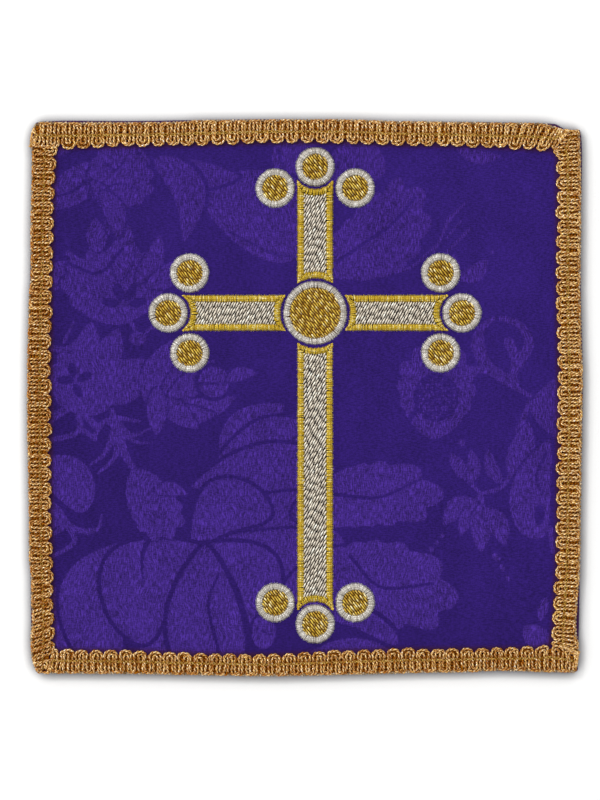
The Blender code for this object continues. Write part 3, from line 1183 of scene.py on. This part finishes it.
def cord_tones_and_painted_highlights(side, t, high):
    """How light a cord's strands are: a random wander, with painted highlights on top of their turns, on
    the crests and at inner tips, and painted light by side.
    """
    painted_crest_highlights = hill(t, 0.74, 0.14) + hill(t, 0.24, 0.13)
    wander = np.array([drift(len(t), 4, 0.2) + drift(len(t), 16, 0.12) for _ in high])
    level = SIDE_PAINTED_LIGHT[side] + 0.38 * high.clip(0, 1) + 0.36 * painted_crest_highlights + 0.32 * hill(t, 0, 0.08)
    return (level + wander).clip(0, 1)


def braid_run(edges, before, after):
    """Where a braid's threads start and end along it, so much before and after its seams."""
    inner, outer = edges
    return max(inner[0, 0], outer[0, 0]) - before, min(inner[-1, 0], outer[-1, 0]) + after


def loop_run(edges):
    """Where the looping cords start and end along the braid, and how many loops they make."""
    start, end = braid_run(edges, 0.2, 1.0)
    return start, end, round((end - start) / BRAID_PITCH)


def braid_cords(side, edges):
    """The looping pair of cords of one side."""
    start, end, loops = loop_run(edges)
    size = np.array([1.0, BRAID_WIDTH])
    bundles = []
    for cord in CORDS:
        along, across = (evenly(cord_path(start, end, loops, cord) * size, CORD_STEP) / size).T
        count = len(along)
        at_corner = hill(along, start, CORNER_REACH) + hill(along, end, CORNER_REACH)
        s = along + drift(count, 5, 0.07) + drift(count, 14, 0.08) + drift(count, 60, 0.1)
        s = s + at_corner * drift(count, 6, 0.45)
        t = across + drift(count, 9, 0.013) + at_corner * drift(count, 7, 0.03)
        z = CLOTH_TOP + cord_height(t) + drift(count, 6, 0.07)
        z = z - END_DROP * hill(along, end, END_REACH)
        strands, high = two_ply(strip_place(side, edges, s, t, z))
        radii = np.full(count, PLY_RADIUS)
        radii[[0, -1]] *= 0.4
        bundles.append(tubes(strands, radii, 6, cord_tones_and_painted_highlights(side, t, high)))
    return bundles


def braid_foundation(side, edges):
    """The threads that lie under the cords along the braid, the innermost one inside the scallops."""
    start, end = braid_run(edges, -0.8, 0.9)
    s = np.arange(start, end, 0.6)
    first, last, loops = loop_run(edges)
    scallops = np.cos(2 * math.pi * loops * (s - first) / (last - first))
    paths = []
    for share in GROUND_SHARES:
        wave = GROUND_WAVE if share == GROUND_SHARES[0] else 0.0
        t = share + wave * scallops + drift(len(s), 5, 0.01)
        paths.append(strip_place(side, edges, s, t, np.full(len(s), CLOTH_TOP + 0.02)))
    return [tubes(np.array(paths), GROUND_RADIUS, 6, np.full(len(paths), 0.3))]


def stitch_phase(s):
    """How far round the chain's stitches, four to a scallop, each place along the braid is."""
    return 2 * math.pi * (s - s[0]) / (BRAID_PITCH / 4)


def braid_chain(side, edges):
    """The two binding threads that cross each other over the cords."""
    s = np.arange(*braid_run(edges, -0.8, -0.8), 0.18)
    phase = stitch_phase(s)
    paths = []
    for way in (-1, 1):
        t = CHAIN_SHARE + way * 0.045 * np.sin(phase / 2) + drift(len(s), 12, 0.006)
        z = CLOTH_TOP + CHAIN_LEVEL[side] + 0.08 * np.cos(phase) + way * 0.05 * np.cos(phase / 2)
        paths.append(strip_place(side, edges, s, t, z))
    tones = np.array([drift(len(s), 4, 0.3) + 0.5 for _ in paths]).clip(0, 1)
    return [tubes(np.array(paths), CHAIN_RADIUS, 5, tones)]


def braid_edging(side, edges):
    """The cord that closes the outer edge, with a small bump at the end of each run of the loops."""
    s = np.arange(*braid_run(edges, -0.3, -0.3), 0.2)
    bumps = np.cos(stitch_phase(s))
    t = EDGE_SHARE + 0.03 * bumps + drift(len(s), 8, 0.008)
    z = CLOTH_TOP + EDGE_LEVEL + 0.08 * bumps + drift(len(s), 8, 0.03)
    # Lighter on its bumps, where it stands highest: a painted highlight, over a random wander
    tones = (drift(len(s), 3, 0.3) + 0.4 + 0.2 * bumps).clip(0, 1)
    return [tubes([strip_place(side, edges, s, t, z)], EDGE_RADIUS, 6, tones)]


def make_braid(side, threads):
    """One side's braid: its cords, the threads under them, the chain over them and the edge thread."""
    edges = strip_edges(side)
    parts = [
        ("gimp", braid_cords, "gold gimp"),
        ("gimp_ground", braid_foundation, "gimp core"),
        ("gimp_chain", braid_chain, "gimp chain"),
        ("gimp_edge", braid_edging, "gimp edge"),
    ]
    place = (f"braid_{side}", "gold_braid")
    return [
        thread_piece(f"{name}_{side}", make(side, edges), threads[thread], *place)
        for name, make, thread in parts
    ]


# The embroidery: a bar and three round buds for each arm of the cross, and a boss at the crossing

CROSS_MIDDLE = np.array([2.9, 24.5])
# From the middle to the tip of the arm on the right, on top, on the left and below
ARM_LENGTHS = (48.2, 48.0, 48.2, 95.8)
BAR_HALF = 5.1
BUD_RADIUS = 5.6
BOSS_RADIUS = 9.2
BETWEEN = 0.9
BORDER = 2.0
SATIN_PITCH = 0.36
FILL_SPACING = 0.66
FILL_STITCH = 2.6
# Which way the rows of the fillings run in the bars and in the rounds
RISING = math.radians(62)
FALLING = math.radians(128)


def arc(centre, radius, start, end):
    """Points on an arc from one angle to another, either way round."""
    angles = np.linspace(start, end, max(3, round(abs(end - start) * radius / 0.35)))
    return [(centre[0] + radius * math.cos(a), centre[1] + radius * math.sin(a)) for a in angles]


def bar_outline(tip):
    """The bar of an arm along +X, hollowed at its ends to follow the boss and the bud at the tip."""
    inner, outer = BOSS_RADIUS + BETWEEN, BUD_RADIUS + BETWEEN
    start, end = math.asin(BAR_HALF / inner), math.asin(BAR_HALF / outer)
    return arc((0, 0), inner, start, -start) + arc((tip, 0), outer, math.pi + end, math.pi - end)


def arm_outlines(turn, length):
    """The bar and the buds of the arm that points a number of quarter turns round from +X."""
    tip = length - BUD_RADIUS
    side = BAR_HALF + BETWEEN + BUD_RADIUS
    places = [(tip, 0), (tip - BUD_RADIUS - 0.6, side), (tip - BUD_RADIUS - 0.6, -side)]
    angle = turn * math.pi / 2
    spin = np.array([[math.cos(angle), math.sin(angle)], [-math.sin(angle), math.cos(angle)]])
    shapes = [bar_outline(tip)] + [arc(place, BUD_RADIUS, 0, 2 * math.pi)[:-1] for place in places]
    bar, *buds = [np.array(shape) @ spin + CROSS_MIDDLE for shape in shapes]
    return bar, buds


def satin(outline, width):
    """Stitches square to the edge of an outline, shorter where it narrows: their ends."""
    edge, ahead = walk_round(outline, SATIN_PITCH)
    inward = np.stack([-ahead[:, 1], ahead[:, 0]], axis=1)
    deep = np.full(len(edge), 0.4)
    for depth in np.linspace(0.5, width, 8):
        found = inside_depth(edge + inward * depth, outline)
        deep = np.where(found > depth - 0.15, depth, deep)
    start = edge - inward * random.uniform(0.0, 0.22, len(edge))[:, None]
    stop = edge + inward * (deep + random.uniform(-0.05, 0.2, len(edge)))[:, None]
    return start, stop + ahead * random.normal(0, 0.1, len(edge))[:, None]


def filling(outline, slope):
    """Slanted rows of stitches inside an outline and its border: their ends."""
    ahead = np.array([math.cos(slope), math.sin(slope)])
    across = np.array([-ahead[1], ahead[0]])
    rows = np.arange((outline @ across).min(), (outline @ across).max(), FILL_SPACING)
    along = np.arange((outline @ ahead).min(), (outline @ ahead).max(), 0.12)
    starts, stops = [], []
    for row in rows:
        within = inside_depth(across * row + along[:, None] * ahead, outline) > BORDER - 0.25
        change = np.flatnonzero(np.diff(within.astype(int)))
        for first, last in zip(along[change[::2]], along[change[1::2]]):
            cuts = np.arange(first - FILL_STITCH * random.uniform(0.0, 1.0), last, FILL_STITCH)
            cuts = cuts + random.normal(0, 0.3, len(cuts))
            cuts = [first, *cuts[(cuts > first + 0.6) & (cuts < last - 0.5)], last]
            for one, other in zip(cuts, cuts[1:]):
                drop = row + random.normal(0, 0.05, 2)
                starts.append(across * drop[0] + ahead * (one + 0.05))
                stops.append(across * drop[1] + ahead * (other - 0.05))
    return np.array(starts), np.array(stops)


def stitch_tubes(ends, rise, radius, steps=5):
    """Stitches that come up out of the cloth, arch over it and go down again."""
    start, stop = ends
    share = np.linspace(0, 1, steps)
    flat = start[:, None] + (stop - start)[:, None] * share[:, None]
    length = np.linalg.norm(stop - start, axis=1)[:, None]
    arch = np.sin(math.pi * share) ** 0.7 * np.minimum(rise, length * 0.35)
    level = CLOTH_TOP - 0.1 + arch + random.normal(0, 0.04, (len(start), 1))
    paths = np.concatenate([flat - OUTLINE_MIDDLE, level[:, :, None]], axis=2)
    radii = radius * np.where((share == 0) | (share == 1), 0.7, 1.0)
    tones = random.uniform(0, 1, len(start))
    return tubes(paths, radii, 5, tones)


def cross_outlines():
    """The outlines of the cross's bars, and of its buds and boss."""
    arms = [arm_outlines(turn, length) for turn, length in enumerate(ARM_LENGTHS)]
    bars = [bar for bar, _ in arms]
    rounds = [bud for _, buds in arms for bud in buds]
    rounds.append(np.array(arc((0, 0), BOSS_RADIUS, 0, 2 * math.pi)[:-1]) + CROSS_MIDDLE)
    return bars, rounds


def under_stitches(places, outlines):
    """How deep inside any of the outlines each place is, in millimetres."""
    depth = np.full(len(places), OUTSIDE)
    for outline in outlines:
        near = near_line(places, outline)
        depth[near] = np.maximum(depth[near], inside_depth(places[near], outline))
    return depth


def make_cross(threads):
    """The cross's four pieces: the borders and the fillings, each in gold and in silver."""
    bars, rounds = cross_outlines()
    made = [
        ("gold satin", [satin(bar, BORDER) for bar in bars], 0.5, 0.18, "gold_thread"),
        ("silver satin", [satin(ring, BORDER) for ring in rounds], 0.5, 0.18, "silver_thread"),
        ("gold filling", [filling(ring, FALLING) for ring in rounds], 0.45, 0.24, "gold_thread"),
        ("silver filling", [filling(bar, RISING) for bar in bars], 0.45, 0.25, "silver_thread"),
    ]
    pieces = []
    for name, ends, rise, radius, slot in made:
        bundles = [stitch_tubes(pair, rise, radius) for pair in ends]
        place = ("damask_panel", slot)
        pieces.append(thread_piece(name.replace(" ", "_"), bundles, threads[name], *place))
    return pieces


# The studio

FLOOR_HALF = 3.0
# How bright the studio is all round at the floor's height and straight above, and how much more so
# to the upper left
HORIZON = 1.42
ZENITH = 0.86
SLANT = 0.52
# The soft box, in metres and watts
LIGHT_PLACE = (-0.66, 0.66, 1.0)
LIGHT_SIZE = 0.24
LIGHT_POWER = 2.7
# The picture's size and the middle of the pall in it, in pixels, and how much a pixel is on the pall
PICTURE_WIDTH = 600
PICTURE_HEIGHT = 800
PALL_MIDDLE_PIXEL = (305.0, 397.5)
PIXEL = 0.29
LENS = 100.0
SENSOR = 36.0


def make_floor():
    bm = bmesh.new()
    bmesh.ops.create_grid(bm, x_segments=1, y_segments=1, size=FLOOR_HALF)
    mesh = bpy.data.meshes.new("floor")
    bm.to_mesh(mesh)
    bm.free()
    mesh.materials.append(floor_material())
    put_in_scene("floor", mesh)


def make_light():
    """A square soft box that faces the middle of the pall."""
    light = bpy.data.lights.new("key box", "AREA")
    light.shape = "SQUARE"
    light.size = LIGHT_SIZE
    light.energy = LIGHT_POWER
    lamp = put_in_scene("key box", light)
    lamp.location = LIGHT_PLACE
    lamp.rotation_euler = (-lamp.location).to_track_quat("-Z", "Y").to_euler()


def make_studio():
    """Bright, even surroundings, a little brighter to the upper left."""
    world = bpy.data.worlds.new("studio")
    world.use_nodes = True
    tree = world.node_tree
    background = tree.nodes["Background"]
    background.inputs["Color"].default_value = (1.0, 1.0, 1.0, 1.0)
    x, y, height = axes(value_from(tree, "ShaderNodeTexCoord", output="Generated"))
    slant = (y - x) * (SLANT / math.sqrt(2))
    put_in(background.inputs["Strength"], height.mapped(0, 1, HORIZON, ZENITH) + slant)
    bpy.context.scene.world = world
    bpy.context.scene.view_settings.view_transform = "Standard"


def make_camera():
    """A camera straight above the pall that frames it as the picture does."""
    camera = bpy.data.cameras.new("camera")
    camera.lens = LENS
    camera.sensor_width = SENSOR
    height = PICTURE_HEIGHT * PIXEL * MM * LENS / SENSOR
    x = (PICTURE_WIDTH / 2 - PALL_MIDDLE_PIXEL[0]) * PIXEL * MM
    y = (PALL_MIDDLE_PIXEL[1] - PICTURE_HEIGHT / 2) * PIXEL * MM
    holder = put_in_scene("camera", camera)
    holder.location = (x, y, height + CLOTH_TOP * MM)
    bpy.context.scene.camera = holder


# The whole pall

make_camera()
make_studio()
make_light()
make_floor()
cloth = make_cloth(damask_material())
threads = {name: thread_material(name) for name in THREADS}
gimps = []
for side in SIDE_DIRECTIONS:
    gimps += make_braid(side, threads)
stitches = make_cross(threads)
stitches.append(make_hem_stitches(threads["purple thread"]))
